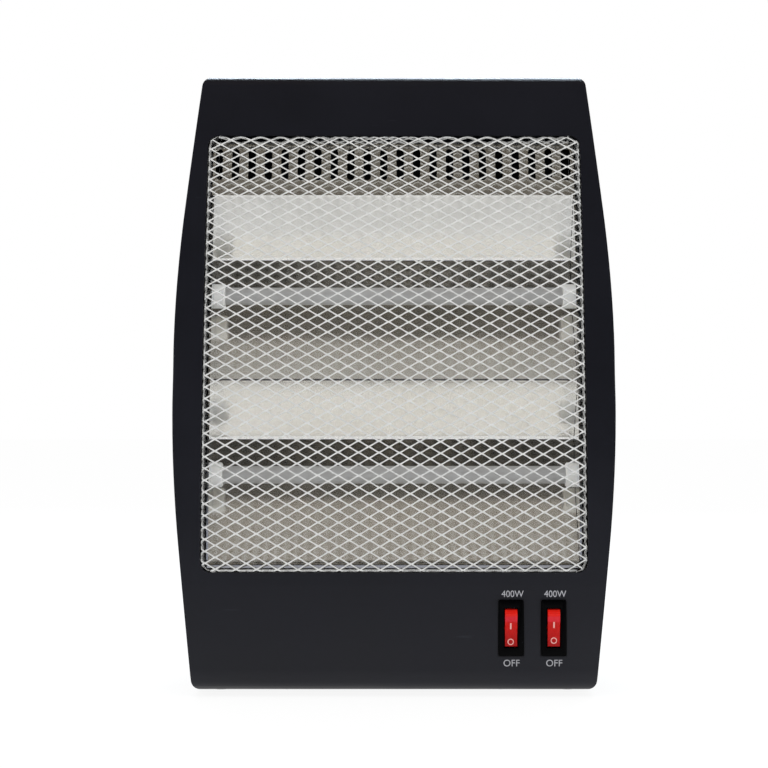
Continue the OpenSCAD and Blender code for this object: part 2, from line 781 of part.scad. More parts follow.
// A wire bundle along a few points
module wire(points, r) {
  for (i = [0:len(points) - 2]) let (a = points[i], b = points[i + 1], d = b - a)
    translate(a) rotate([0, acos(d[2] / norm(d)), atan2(d[1], d[0])]) cylinder(r = r, h = norm(d), $fn = 24);
  for (i = [1:len(points) - 2]) translate(points[i]) sphere(r = r * 1.3, $fn = 24);
}

module wiring_loom() {
  r = 1.6;
  run_x = bracket_x + bracket_t + r + 1.5;
  run_y = 20;
  end_x = cap_out + r + fit;
  low = plate_z + plate_t + 4;
  rise_x = boss_half[0] - well_r - r - 3;
  rise_z = boss_z[0] + 14;
  side = block_w / 2 + fit;
  rear_run = block_y + 8;
  blade_y = seat_y + switch_body_d + blade_l + 2 * fit;
  up = [[rise_x, run_y + 2, low], [rise_x, run_y + 2, rise_z], [run_x, run_y, rise_z + 16], [run_x, run_y, upper_tube[1] - cap_d],
    [end_x, upper_tube[0] + 3.1 + r + 2 * fit, upper_tube[1]]];
  color("#7a2320") {
    wire(concat([[block_x + side, block_y, low]], up), r);
    wire(concat([[block_x - side - r / 2, block_y, low], [block_x - side - 12, rear_run, low], [10 - rise_x, rear_run, low]],
      [for (p = up) [-p[0], p[1], p[2]]]), r);
    for (i = [0, 1]) let (x = block_x + (i * 2 - 1) * 10.5, y = block_y - block_d / 2)
      wire([[switch_spots[i], blade_y, switch_z - 8], [switch_spots[i], -2, low + 12], [x, y - 6, low], [x, y - fit, low]], r);
  }
}

module cord_inlet_bush() {
  r = lead_d / 2 + 0.1;
  color("#141414") translate([inlet_x, back_y, inlet_z]) rotate([-90, 0, 0]) rotate_extrude($fn = 64) polygon([
    [r, -11], [r + 2, -11], [r + 2.3, -wall - 2.2], [r + 3.4, -wall - 0.2], [r + 2.4, -wall - 0.1], [r + 2.4, 0.1], [r + 4.5, 0.1],
    [r + 4.5, bush_out - 1.8], [r + 3.5, bush_out - 0.6], [r + 2.2, bush_out], [r, bush_out]
  ]);
}

// ---- Tip-over switch ----

// Bridge over the plunger that guides its stem, carries the microswitch and stops the spring
module tilt_switch_frame() {
  left = 10;
  right = lever_arm + 15;
  frame_w = 12;
  tab_l = 8;
  back_h = 19;
  z = plate_z + plate_t;
  color("#b8b8b4") translate([tilt_x, tilt_y, 0]) difference() {
    union() {
      translate([-left, -frame_w / 2, frame_z]) cube([left + right + 1, frame_w, frame_t]);
      for (x = [-left, right]) translate([x, -frame_w / 2, z]) cube([frame_t, frame_w, frame_z - z + 0.1]);
      for (x = [1 - left - tab_l, right]) translate([x, -frame_w / 2, z]) cube([tab_l, frame_w, frame_t]);
      translate([-left, frame_w / 2 - frame_t, frame_z]) cube([left + right - 3, frame_t, back_h]);
    }
    translate([0, 0, frame_z - 1]) cylinder(r = plunger_d / 2 + slide_fit, h = frame_t + 2, $fn = 48);
  }
}

module tilt_microswitch() {
  color("#1f4f8f") translate([tilt_x, tilt_y, lever_z]) difference() {
    union() {
      translate([-6, -2.6, lever_t + 1.6]) cube([20, 7.2, 10]);
      translate([lever_arm - 1.6, -2.6, -1.6]) cube([3.2, 1.3, 4]);
      translate([lever_arm - 1.6, 2.4, -1.6]) cube([3.2, 1.3, 4]);
      translate([5, 0.55, lever_t + fit]) cylinder(r = 1, h = 2, $fn = 32);
    }
    translate([lever_arm, 0, 0]) rotate([90, 0, 0]) cylinder(r = 0.5 + pin_fit, h = 20, center = true, $fn = 32);
  }
}

module tilt_lever() {
  color("#c0c0bc") translate([tilt_x, tilt_y, lever_z]) {
    translate([-2.5, -1, 0]) cube([lever_arm + 2.5, 3.1, lever_t]);
    translate([lever_arm, 0.55, 0]) rotate([90, 0, 0]) cylinder(r = 0.9, h = 3.1, center = true, $fn = 32);
    translate([lever_arm, 0.55, 0]) rotate([90, 0, 0]) cylinder(r = 0.5, h = 5.6, center = true, $fn = 32);
  }
}

module tilt_plunger() {
  r = plunger_d / 2;
  tip_r = 3;
  tip = tip_r - sqrt(tip_r ^ 2 - r ^ 2);
  color("#e9e7df") translate([tilt_x, tilt_y, 0]) rotate_extrude($fn = 64) polygon(concat(
    [[0, 0.1], [r + 0.7, 0.1], [r + 1.5, 0.9], [r + 1.5, collar_z + 0.1], [r + 3.5, collar_z + 0.1],
     [r + 3.5, spring_z], [r, spring_z]],
    [for (i = [0:5]) let (a = asin(r / tip_r) * (1 - i / 5)) [tip_r * sin(a), stem_top_z - tip_r + tip_r * cos(a)]]
  ));
}

module tilt_spring() {
  sides = 6;
  ring_count = 8 * spring_turns;
  wire_r = spring_wire / 2;
  mean_r = plunger_d / 2 + 1.6;
  z0 = spring_z + wire_r + 0.15;
  z1 = frame_z - wire_r - 0.15;
  points = [for (k = [0:ring_count]) let (turn = 360 * k / 8, z = z0 + (z1 - z0) * k / ring_count)
    for (j = [0:sides - 1]) let (a = 360 * j / sides)
      [(mean_r + wire_r * cos(a)) * cos(turn), (mean_r + wire_r * cos(a)) * sin(turn), z + wire_r * sin(a)]];
  walls = [for (k = [0:ring_count - 1]) for (j = [0:sides - 1]) let (a = k * sides + j, b = k * sides + (j + 1) % sides)
    each [[a, a + sides, b], [b, a + sides, b + sides]]];
  last = ring_count * sides;
  ends = concat([for (j = [1:sides - 2]) [0, j, j + 1]], [for (j = [1:sides - 2]) [last, last + j + 1, last + j]]);
  color("#9a9a98") translate([tilt_x, tilt_y, 0]) polyhedron(points, concat(walls, ends));
  echo(spring_gap = (z1 - z0) / spring_turns - spring_wire);
}

// ---- Fasteners ----

// A pan-head screw along +Z with its head under the origin
module screw(shank_r, length, head_r, head_h) {
  difference() {
    union() {
      rotate_extrude($fn = 48) polygon([
        [0, -head_h], [head_r - 0.8, -head_h], [head_r, -head_h * 0.5], [head_r, 0], [shank_r, 0],
        [shank_r, length - shank_r], [0, length]
      ]);
    }
    for (a = [0, 90]) rotate([0, 0, a]) translate([-head_r * 0.6, -0.4, -head_h - 1]) cube([head_r * 1.2, 0.8, 2]);
  }
}

module housing_screws() {
  color("#8d8d8a") for (p = boss_spots) translate([p[0], part_y(p[1]) + 2.5 + screw_fit, p[1]])
    rotate([90, 0, 0]) screw(housing_screw_r - 0.05, housing_screw_l, 3.3, 2.4);
}

module base_screws() {
  color("#8d8d8a") for (p = base_screw_spots) translate([p[0], p[1], floor_z]) screw(1.25, base_screw_l, 2.9, 1.8);
}

module bracket_screws() {
  color("#8d8d8a") for (s = [-1, 1]) for (z = lug_spots)
    translate([s * lug_x, face_y(z) + lug_back + bracket_t, z]) rotate([90, 0, 0]) screw(housing_screw_r - 0.05, bracket_screw_l, 3, 2.2);
}

module shield_screws() {
  color("#8d8d8a") at_shield_screws() screw(1.2, shield_screw_l, 2.6, 1.8);
}

front_housing();
rear_housing();
base_plate();
rubber_feet();
guard_mesh();
reflector_upper();
reflector_lower();
mirror([1, 0, 0]) bracket();  // bracket_left
bracket();  // bracket_right
heat_shield();
quartz_tube(upper_tube);  // quartz_tube_upper
quartz_tube(lower_tube);  // quartz_tube_lower
heating_coil(upper_tube);  // heating_coil_upper
heating_coil(lower_tube);  // heating_coil_lower
ceramic_caps(upper_tube);  // ceramic_caps_upper
ceramic_caps(lower_tube);  // ceramic_caps_lower
tube_terminals();
switch_housing(switch_spots[0]);  // switch_housing_left
switch_housing(switch_spots[1]);  // switch_housing_right
rocker(switch_spots[0]);  // rocker_left
rocker(switch_spots[1]);  // rocker_right
switch_blades();
thermal_cutout();
terminal_block();
wiring_loom();
cord_inlet_bush();
tilt_switch_frame();
tilt_microswitch();
tilt_lever();
tilt_plunger();
tilt_spring();
housing_screws();
base_screws();
bracket_screws();
shield_screws();
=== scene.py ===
# Electric bar heater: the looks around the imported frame. Sizes in the dictionaries are millimetres,
# apart from the studio's and the lamps', which are metres.
import math

import bpy
from mathutils import Matrix, Vector


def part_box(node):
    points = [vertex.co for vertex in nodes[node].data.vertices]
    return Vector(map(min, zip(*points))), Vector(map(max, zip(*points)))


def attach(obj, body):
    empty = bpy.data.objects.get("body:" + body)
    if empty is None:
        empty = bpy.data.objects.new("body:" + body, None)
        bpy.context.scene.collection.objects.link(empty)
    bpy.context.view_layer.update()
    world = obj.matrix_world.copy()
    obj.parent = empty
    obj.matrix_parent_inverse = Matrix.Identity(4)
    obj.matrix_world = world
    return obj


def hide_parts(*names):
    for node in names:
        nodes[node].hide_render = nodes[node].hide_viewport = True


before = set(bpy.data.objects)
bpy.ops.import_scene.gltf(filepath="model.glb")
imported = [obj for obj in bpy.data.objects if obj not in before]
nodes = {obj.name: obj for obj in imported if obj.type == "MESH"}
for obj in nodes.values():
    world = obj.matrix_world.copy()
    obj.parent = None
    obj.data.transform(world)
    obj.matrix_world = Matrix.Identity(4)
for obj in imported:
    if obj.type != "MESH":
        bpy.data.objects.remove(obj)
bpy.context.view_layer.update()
mm = 0.001
close = 0.01 * mm  # points nearer to each other than this count as one
print("frame loaded:", len(nodes), "pieces")


def srgb(colour):  # a hex colour as Blender's linear one
    parts = [int(colour[i:i + 2], 16) / 255 for i in (1, 3, 5)]
    return [c / 12.92 if c <= 0.04045 else ((c + 0.055) / 1.055) ** 2.4 for c in parts] + [1]


def addNode(tree, kind, settings=None, inputs=None):
    node = tree.nodes.new(kind)
    for name, value in (settings or {}).items():
        setattr(node, name, value)
    for key, value in (inputs or {}).items():
        if isinstance(value, bpy.types.NodeSocket):
            tree.links.new(value, node.inputs[key])
        else:
            node.inputs[key].default_value = value
    return node


def emptyTree(owner):
    owner.use_nodes = True
    owner.node_tree.nodes.clear()
    return owner.node_tree


def deselect():
    bpy.ops.object.select_all(action="DESELECT")


def activate(piece):
    deselect()
    piece.select_set(True)
    bpy.context.view_layer.objects.active = piece


def added(name):  # names the piece that an operator has just added
    piece = bpy.context.object
    piece.name = name
    return piece


def stretch(piece, size):  # scales a fresh primitive, by millimetres
    piece.scale = [length * mm for length in size]
    bpy.ops.object.transform_apply(location=True, rotation=True, scale=True)


def choose(piece, element, test):  # opens edit mode with the edges or faces that pass the test
    activate(piece)
    bpy.ops.object.mode_set(mode="EDIT")
    bpy.ops.mesh.select_mode(type=element)
    bpy.ops.mesh.select_all(action="DESELECT")
    bpy.ops.object.mode_set(mode="OBJECT")
    for item in {"EDGE": piece.data.edges, "FACE": piece.data.polygons}[element]:
        item.select = test(item)
    bpy.ops.object.mode_set(mode="EDIT")


def openWhole(piece):
    choose(piece, "FACE", lambda face: True)


def closeEdit():
    bpy.ops.object.mode_set(mode="OBJECT")


def edgeEnds(piece, edge):
    return [piece.data.vertices[i].co for i in edge.vertices]


def bevelEdges(piece, test, width, segments):
    choose(piece, "EDGE", test)
    bpy.ops.mesh.bevel(offset=width * mm, segments=segments, affect="EDGES", clamp_overlap=False)
    closeEdit()


def cutAll(point, normal, trim=False):  # cuts all that is open along a plane, or trims it there
    bpy.ops.mesh.select_all(action="SELECT")
    bpy.ops.mesh.bisect(plane_co=[c * mm for c in point], plane_no=normal, clear_outer=trim)


def modify(piece, kind, **settings):  # adds a modifier and applies it
    activate(piece)
    modifier = piece.modifiers.new(kind.title(), kind)
    for name, value in settings.items():
        setattr(modifier, name, value)
    bpy.ops.object.modifier_apply(modifier=modifier.name)


def smooth(piece):
    activate(piece)
    bpy.ops.object.shade_smooth_by_angle(angle=math.radians(30))


def evenOut(piece):  # smooth, with the large flat faces ruling the normals
    smooth(piece)
    modify(piece, "WEIGHTED_NORMAL", keep_sharp=True, weight=80)


def placeMesh(piece, matrix):
    piece.data.transform(matrix)
    piece.matrix_world = Matrix.Identity(4)


# "weld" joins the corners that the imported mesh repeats, "flatWithin" is in degrees
copying = {"weld": 0.002, "flatWithin": 0.3}


def cadCopy(node, name):  # a merged copy of a CAD piece, its flat faces in one piece each
    piece = bpy.data.objects.new(name, nodes[node].data.copy())
    bpy.context.scene.collection.objects.link(piece)
    openWhole(piece)
    bpy.ops.mesh.remove_doubles(threshold=copying["weld"] * mm)
    bpy.ops.mesh.dissolve_limited(angle_limit=math.radians(copying["flatWithin"]))
    closeEdit()
    return piece


def settle(piece, body, material, slot, *replaced):  # the last step of each new piece
    piece.data.materials.clear()
    piece.data.materials.append(material)
    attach(piece, body)
    if replaced:
        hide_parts(*replaced)


# the camera, and a pale studio round the table
studio = {
    "cameraPlace": (0, -1.362, 0.1726),  # level with the middle of the front
    "lens": 110.6,
    "shiftX": -10 / 768,  # the heater stands 10 of the picture's 768 pixels right of the middle
    "floorHalf": 6.0,
    "floorColour": "#ffffff",
    "floorGlow": 0.9,  # share of plain white that the camera sees, so the shadow stays soft
    "skyLight": 0.9,
    "roomRadius": 3.0, "roomCentre": 0.2,
    # the dim room round the table, seen only in reflections: degrees above the level, brightness and tint
    "roomTones": [
        (-4, 0.55, "#eef1ff"), (3, 0.35, "#eef1ff"), (8, 0.03, "#fffcf1"), (20, 0.02, "#fffcf1"),
        (27, 0.16, "#fff1da"), (33, 0.02, "#fffcf1"), (42, 0.02, "#fffcf1"), (51, 0.11, "#fff1da"),
        (61, 0.05, "#eef1ff"), (74, 0.15, "#ffd9a6"), (90, 0.19, "#ffd9a6"),
    ],
}

cameraData = bpy.data.cameras.new("photoCamera")
cameraData.lens = studio["lens"]
cameraData.shift_x = studio["shiftX"]
camera = bpy.data.objects.new("photoCamera", cameraData)
camera.location = studio["cameraPlace"]
camera.rotation_euler = (math.pi / 2, 0, 0)
bpy.context.scene.collection.objects.link(camera)
bpy.context.scene.camera = camera
bpy.context.scene.view_settings.view_transform = "Standard"


def seenRays(tree):  # 1 where the camera looks, directly or through gloss and glass
    rays = addNode(tree, "ShaderNodeLightPath").outputs
    seen = rays["Is Camera Ray"]
    for kind in ("Is Glossy Ray", "Is Transmission Ray"):
        either = addNode(tree, "ShaderNodeMath", {"operation": "MAXIMUM"}, {0: seen, 1: rays[kind]})
        seen = either.outputs[0]
    return seen


deselect()
bpy.ops.mesh.primitive_plane_add(size=2 * studio["floorHalf"], location=(0, 0, 0))
floor = added("studioFloor")
floorPaint = bpy.data.materials.new("studioFloorPaint")
tree = emptyTree(floorPaint)
paint = addNode(tree, "ShaderNodeBsdfDiffuse", inputs={"Color": srgb(studio["floorColour"])})
glow = addNode(tree, "ShaderNodeEmission")
share = addNode(tree, "ShaderNodeMath", {"operation": "MULTIPLY"}, {
    0: seenRays(tree), 1: studio["floorGlow"],
})
mixed = addNode(tree, "ShaderNodeMixShader", inputs={
    0: share.outputs[0], 1: paint.outputs[0], 2: glow.outputs[0],
})
addNode(tree, "ShaderNodeOutputMaterial", inputs={0: mixed.outputs[0]})
floor.data.materials.append(floorPaint)

deselect()
bpy.ops.mesh.primitive_uv_sphere_add(
    segments=64, ring_count=32, radius=studio["roomRadius"], location=(0, 0, studio["roomCentre"]),
)
room = added("studioRoom")
room.visible_camera = False
room.visible_diffuse = False
room.visible_transmission = False
room.visible_shadow = False
roomPaint = bpy.data.materials.new("studioRoomPaint")
tree = emptyTree(roomPaint)
spot = addNode(tree, "ShaderNodeNewGeometry").outputs["Position"]
rise = addNode(tree, "ShaderNodeSeparateXYZ", inputs={0: spot}).outputs["Z"]


def roomHeight(degrees):
    return studio["roomCentre"] + studio["roomRadius"] * math.sin(math.radians(degrees))


def tinted(strength, colour):
    return [c * strength for c in srgb(colour)[:3]] + [1]


tones = studio["roomTones"]
tone = tinted(*tones[0][1:])
for (low, _, _), (high, strength, colour) in zip(tones, tones[1:]):
    share = addNode(tree, "ShaderNodeMapRange", {"interpolation_type": "SMOOTHSTEP"}, {
        "Value": rise, "From Min": roomHeight(low), "From Max": roomHeight(high),
    })
    tone = addNode(tree, "ShaderNodeMix", {"data_type": "RGBA"}, {
        0: share.outputs[0], 6: tone, 7: tinted(strength, colour),
    }).outputs[2]
# the light that reaches matt parts off the metal is the sky's
depth = addNode(tree, "ShaderNodeLightPath").outputs["Diffuse Depth"]
scattered = addNode(tree, "ShaderNodeMath", {"operation": "GREATER_THAN"}, {0: depth, 1: 0.5})
tone = addNode(tree, "ShaderNodeMix", {"data_type": "RGBA"}, {
    0: scattered.outputs[0], 6: tone, 7: [studio["skyLight"]] * 3 + [1],
}).outputs[2]
glow = addNode(tree, "ShaderNodeEmission", inputs={"Color": tone})
addNode(tree, "ShaderNodeOutputMaterial", inputs={0: glow.outputs[0]})
room.data.materials.append(roomPaint)

world = bpy.data.worlds.new("studioLight")
bpy.context.scene.world = world
tree = emptyTree(world)
strength = addNode(tree, "ShaderNodeMapRange", inputs={
    "Value": seenRays(tree), "To Min": studio["skyLight"], "To Max": 1.0,
})
sky = addNode(tree, "ShaderNodeBackground", inputs={"Color": (1, 1, 1, 1), "Strength": strength.outputs[0]})
addNode(tree, "ShaderNodeOutputWorld", inputs={0: sky.outputs[0]})

lamps = {
    "overheadSoftbox": {
        "place": (-0.25, -0.55, 1.9), "aimHeight": 0.2, "size": (1.5, 1.1),
        "watts": 10, "colour": (1, 1, 1), "mirrored": False,
    },
    "rimStrip": {  # above and behind, it lights the top edge
        "place": (0.1, 1.0, 1.15), "aimHeight": 0.35, "size": (1.4, 0.35),
        "watts": 26, "colour": (0.74, 0.86, 1.0), "mirrored": True,
    },
}
for name, look in lamps.items():
    lampData = bpy.data.lights.new(name, "AREA")
    lampData.shape = "RECTANGLE"
    lampData.size, lampData.size_y = look["size"]
    lampData.energy = look["watts"]
    lampData.color = look["colour"]
    lamp = bpy.data.objects.new(name, lampData)
    lamp.location = look["place"]
    lamp.visible_glossy = look["mirrored"]
    away = Vector(look["place"]) - Vector((0, 0, look["aimHeight"]))
    lamp.rotation_euler = away.to_track_quat("Z", "Y").to_euler()
    bpy.context.scene.collection.objects.link(lamp)
print("camera and studio ready")


def grainedFinish(name, look):  # one fine grain and one broad mottle drive colour, gloss and relief
    material = bpy.data.materials.new(name)
    tree = emptyTree(material)
    place = addNode(tree, "ShaderNodeTexCoord").outputs["Object"]
    along = addNode(tree, "ShaderNodeMapping", inputs={
        "Vector": place, "Scale": look.get("stretch", (1, 1, 1)),
    })
    grain = addNode(tree, "ShaderNodeTexNoise", inputs={
        "Vector": along.outputs[0], "Scale": 1 / (look["grain"] * mm), "Detail": 3, "Roughness": 0.6,
    }).outputs[0]
    mottle = addNode(tree, "ShaderNodeTexNoise", inputs={
        "Vector": place, "Scale": 1 / (look["mottle"] * mm), "Detail": 3,
    }).outputs[0]
    blend = addNode(tree, "ShaderNodeMath", {"operation": "MULTIPLY_ADD", "use_clamp": True}, {
        0: grain, 1: 0.5, 2: mottle,
    })
    shift = addNode(tree, "ShaderNodeMapRange", inputs={
        "Value": blend.outputs[0], "From Min": 0.45, "From Max": 1.0,
    })
    colour = addNode(tree, "ShaderNodeMix", {"data_type": "RGBA"}, {
        0: shift.outputs[0], 6: srgb(look["shade"]), 7: srgb(look["colour"]),
    })
    gloss = addNode(tree, "ShaderNodeMapRange", inputs={
        "Value": mottle, "From Min": 0.3, "From Max": 0.7,
        "To Min": look["rough"][0], "To Max": look["rough"][1],
    })
    relief = addNode(tree, "ShaderNodeBump", inputs={
        "Height": grain, "Distance": look["relief"] * mm, "Strength": look.get("reliefStrength", 0.6),
    })
    surface = addNode(tree, "ShaderNodeBsdfPrincipled", inputs={
        "Base Color": colour.outputs[2], "Roughness": gloss.outputs[0], "Normal": relief.outputs[0],
        **look.get("shader", {}),
    })
    addNode(tree, "ShaderNodeOutputMaterial", inputs={0: surface.outputs[0]})
    return material


def placeOn(material):  # the Object coordinates that a finish reads
    return material.node_tree.nodes["Texture Coordinate"].outputs["Object"]


def surfaceOf(material):
    return material.node_tree.nodes["Principled BSDF"].inputs


def layOver(material, share, colour):  # a second colour over a finish, as far as share says
    base = surfaceOf(material)["Base Color"]
    laid = addNode(material.node_tree, "ShaderNodeMix", {"data_type": "RGBA"}, {
        0: share, 6: base.links[0].from_socket, 7: srgb(colour),
    })
    material.node_tree.links.new(laid.outputs[2], base)


# Moulded ABS from a spark-eroded tool: blue black and satin, its fine pebble grain breaks up the highlights
housingAbs = grainedFinish("mouldedAbsBlueBlack", {
    "colour": "#15161f", "shade": "#111219", "mottle": 60,
    "grain": 0.8,  # the real grit is 0.2 mm, drawn coarser to show
    "rough": (0.36, 0.46), "relief": 0.03, "reliefStrength": 0.5,
    "shader": {"IOR": 1.5, "Specular IOR Level": 0.28},
})
# handling marks: few, short, hair-thin light scratches
scratches = {
    "turn": (0.2, 0.9, 0.4), "stretch": (14, 14, 150), "scale": 2.2,
    "cut": (0.73, 0.8), "colour": "#20222a",
}
tree = housingAbs.node_tree
warp = addNode(tree, "ShaderNodeMapping", inputs={
    "Vector": placeOn(housingAbs), "Rotation": scratches["turn"], "Scale": scratches["stretch"],
})
hair = addNode(tree, "ShaderNodeTexNoise", inputs={
    "Vector": warp.outputs[0], "Scale": scratches["scale"], "Detail": 2,
})
hairMask = addNode(tree, "ShaderNodeMapRange", inputs={
    "Value": hair.outputs[0], "From Min": scratches["cut"][0], "From Max": scratches["cut"][1],
})
layOver(housingAbs, hairMask.outputs[0], scratches["colour"])

# Expanded mild steel, bright zinc plated after cutting: light silver, satin, a little uneven
guardZinc = grainedFinish("brightZincPlatedExpandedSteel", {
    "colour": "#dededc", "shade": "#cdcdcb", "grain": 0.9, "mottle": 9,
    "rough": (0.3, 0.45), "relief": 0.02,
    "shader": {"Metallic": 0.15},
})
# the side that faces the tubes has gone straw brown in their heat
scorch = {"facing": (0.3, 0.7), "colour": "#867c6a"}
tree = guardZinc.node_tree
facing = addNode(tree, "ShaderNodeSeparateXYZ", inputs={
    0: addNode(tree, "ShaderNodeNewGeometry").outputs["True Normal"],
})
scorched = addNode(tree, "ShaderNodeMapRange", inputs={
    "Value": facing.outputs["Y"], "From Min": scorch["facing"][0], "From Max": scorch["facing"][1],
})
layOver(guardZinc, scorched.outputs[0], scorch["colour"])

# Bright-rolled aluminium sheet: mirror-like along the roll, with faint lines and slow waves from bending
reflectorAluminium = grainedFinish("brightRolledAluminium", {
    "colour": "#fdfcfa", "shade": "#f9f8f4", "grain": 0.5, "stretch": (0.02, 1, 1), "mottle": 45,
    "rough": (0.11, 0.15), "relief": 0.003, "reliefStrength": 0.4,
    "shader": {"Metallic": 1.0},
})
# what faces up has taken a thin film of dust and heat, a little less mirror-like, and its warm tint is in
# part a painted reflection of the warm light from above
dustAndPaintedWarmLight = {
    "facing": (0.1, 0.5), "clouds": 30, "cloudShare": (0.2, 0.35),
    "colour": "#e4dccb", "metallic": 0.72,
}
wave = {"length": 38, "depth": 0.12, "strength": 0.5}
tree = reflectorAluminium.node_tree
surface = surfaceOf(reflectorAluminium)
place = placeOn(reflectorAluminium)
facing = addNode(tree, "ShaderNodeSeparateXYZ", inputs={
    0: addNode(tree, "ShaderNodeNewGeometry").outputs["True Normal"],
})
upward = addNode(tree, "ShaderNodeMapRange", inputs={
    "Value": facing.outputs["Z"], "From Min": dustAndPaintedWarmLight["facing"][0], "From Max": dustAndPaintedWarmLight["facing"][1],
})
clouds = addNode(tree, "ShaderNodeTexNoise", inputs={
    "Vector": place, "Scale": 1 / (dustAndPaintedWarmLight["clouds"] * mm), "Detail": 3,
})
cloudy = addNode(tree, "ShaderNodeMapRange", inputs={
    "Value": clouds.outputs[0], "From Min": 0.3, "From Max": 0.7,
    "To Min": dustAndPaintedWarmLight["cloudShare"][0], "To Max": dustAndPaintedWarmLight["cloudShare"][1],
})
dustAndWarmLightShare = addNode(tree, "ShaderNodeMath", {"operation": "MULTIPLY"}, {
    0: upward.outputs[0], 1: cloudy.outputs[0],
})
# the warm tint on upward faces: dust, and in part a painted reflection of warm light from above
layOver(reflectorAluminium, dustAndWarmLightShare.outputs[0], dustAndPaintedWarmLight["colour"])
mirror = addNode(tree, "ShaderNodeMapRange", inputs={
    "Value": dustAndWarmLightShare.outputs[0], "To Min": 1.0, "To Max": dustAndPaintedWarmLight["metallic"],
})
tree.links.new(mirror.outputs[0], surface["Metallic"])
swell = addNode(tree, "ShaderNodeTexNoise", inputs={
    "Vector": place, "Scale": 1 / (wave["length"] * mm), "Detail": 1,
})
slow = addNode(tree, "ShaderNodeBump", inputs={
    "Height": swell.outputs[0], "Distance": wave["depth"] * mm, "Strength": wave["strength"],
    "Normal": surface["Normal"].links[0].from_socket,
})
tree.links.new(slow.outputs[0], surface["Normal"])

# Bright zinc plated sheet of the side plates, smooth enough to mirror the reflectors beside them
brightSheet = grainedFinish("brightZincPlatedSheet", {
    "colour": "#eef0f3", "shade": "#e2e5e9", "grain": 0.7, "mottle": 20,
    "rough": (0.12, 0.2), "relief": 0.006,
    "shader": {"Metallic": 1.0},
})

# Steel sheet of the heat shield, blued by heat: dark slate grey, half matt
shieldSteel = grainedFinish("heatBluedSteelSheet", {
    "colour": "#34373c", "shade": "#282a2e", "grain": 1.4, "mottle": 9,
    "rough": (0.35, 0.5), "relief": 0.01,
    "shader": {"Metallic": 0.9},
})

# Galvanised steel sheet: cool grey, with a soft spangle
sheetZinc = grainedFinish("galvanisedSteelSheet", {
    "colour": "#c4c8ca", "shade": "#a9adb0", "grain": 1.6, "mottle": 7,
    "rough": (0.32, 0.5), "relief": 0.01,
    "shader": {"Metallic": 0.9},
})

# Fused quartz, satin etched: milky, so that the coil is no more than a soft shade in it
quartz = grainedFinish("milkyFusedQuartz", {
    "colour": "#c6c6c5", "shade": "#bbbab8", "grain": 0.7, "stretch": (0.05, 1, 1), "mottle": 30,
    "rough": (0.3, 0.42), "relief": 0.01,
    "shader": {"IOR": 1.46, "Transmission Weight": 0.25},
})

# Oxidised iron-chrome-aluminium resistance wire: dull grey brown
resistanceWire = grainedFinish("oxidisedResistanceWire", {
    "colour": "#6f675d", "shade": "#4c463f", "grain": 0.3, "mottle": 6,
    "rough": (0.5, 0.7), "relief": 0.01,
    "shader": {"Metallic": 0.7},
})

# Fired steatite, unglazed: chalk white, dry, with a very fine tooth
steatite = grainedFinish("firedSteatite", {
    "colour": "#fafaf8", "shade": "#f0efeb", "grain": 0.6, "mottle": 8,
    "rough": (0.55, 0.75), "relief": 0.02,
    "shader": {
        "Subsurface Weight": 0.1, "Subsurface Radius": (0.002, 0.0017, 0.0013), "Subsurface Scale": 0.5,
    },
})

# Stamped brass of the terminals: warm yellow, slightly tarnished
brass = grainedFinish("stampedBrass", {
    "colour": "#d8b869", "shade": "#b7954c", "grain": 0.5, "mottle": 5,
    "rough": (0.25, 0.42), "relief": 0.008,
    "shader": {"Metallic": 1.0},
})

# Moulded polyamide of the switch bodies and the inlet bush: deep black, a little glossier than the housing
blackPolyamide = grainedFinish("mouldedPolyamideBlack", {
    "colour": "#020203", "shade": "#010102", "grain": 0.6, "mottle": 12,
    "rough": (0.25, 0.34), "relief": 0.012,
    "shader": {"IOR": 1.53, "Specular IOR Level": 0.04},
})

# Moulded polycarbonate of the rockers: clear signal red, semi-gloss, light enters a little
redPolycarbonate = grainedFinish("mouldedPolycarbonateRed", {
    "colour": "#c20f08", "shade": "#ad0c07", "grain": 0.7, "mottle": 9,
    "rough": (0.2, 0.3), "relief": 0.008,
    "shader": {
        "IOR": 1.58, "Specular IOR Level": 0.12,
        "Subsurface Weight": 0.15, "Subsurface Radius": (0.004, 0.0004, 0.0003), "Subsurface Scale": 0.5,
    },
})
# painted light and shade on the rockers: painted shade darkens them towards the pressed end, a painted
# highlight band lies below the raised end, and the raised end is painted brighter;
# each colour comes in between two heights and stays past the second
paintedLightAndShade = [(38, 27, "#980505"), (41.2, 42.2, "#cb232e"), (44.2, 45.4, "#d21c12")]
tree = redPolycarbonate.node_tree
height = addNode(tree, "ShaderNodeSeparateXYZ", inputs={0: placeOn(redPolycarbonate)}).outputs["Z"]
# each band lays painted light or painted shade over the red, by height
for start, end, colour in paintedLightAndShade:
    paintedShare = addNode(tree, "ShaderNodeMapRange", {"interpolation_type": "SMOOTHSTEP"}, {
        "Value": height, "From Min": start * mm, "From Max": end * mm,
    })
    layOver(redPolycarbonate, paintedShare.outputs[0], colour)

# Silicone-coated glass sleeving over the leads: brick red, matt, with the braid just showing
sleeving = grainedFinish("siliconeGlassSleeving", {
    "colour": "#8c3b2c", "shade": "#6e2a1f", "grain": 0.8, "mottle": 14,
    "rough": (0.55, 0.7), "relief": 0.06,
    "shader": {"Sheen Weight": 0.2, "Sheen Roughness": 0.5},
})

# Pressed phenolic of the cut-out: dark brown, half matt
phenolic = grainedFinish("pressedPhenolic", {
    "colour": "#33271f", "shade": "#241b16", "grain": 0.5, "mottle": 6,
    "rough": (0.35, 0.5), "relief": 0.01,
    "shader": {"IOR": 1.6},
})

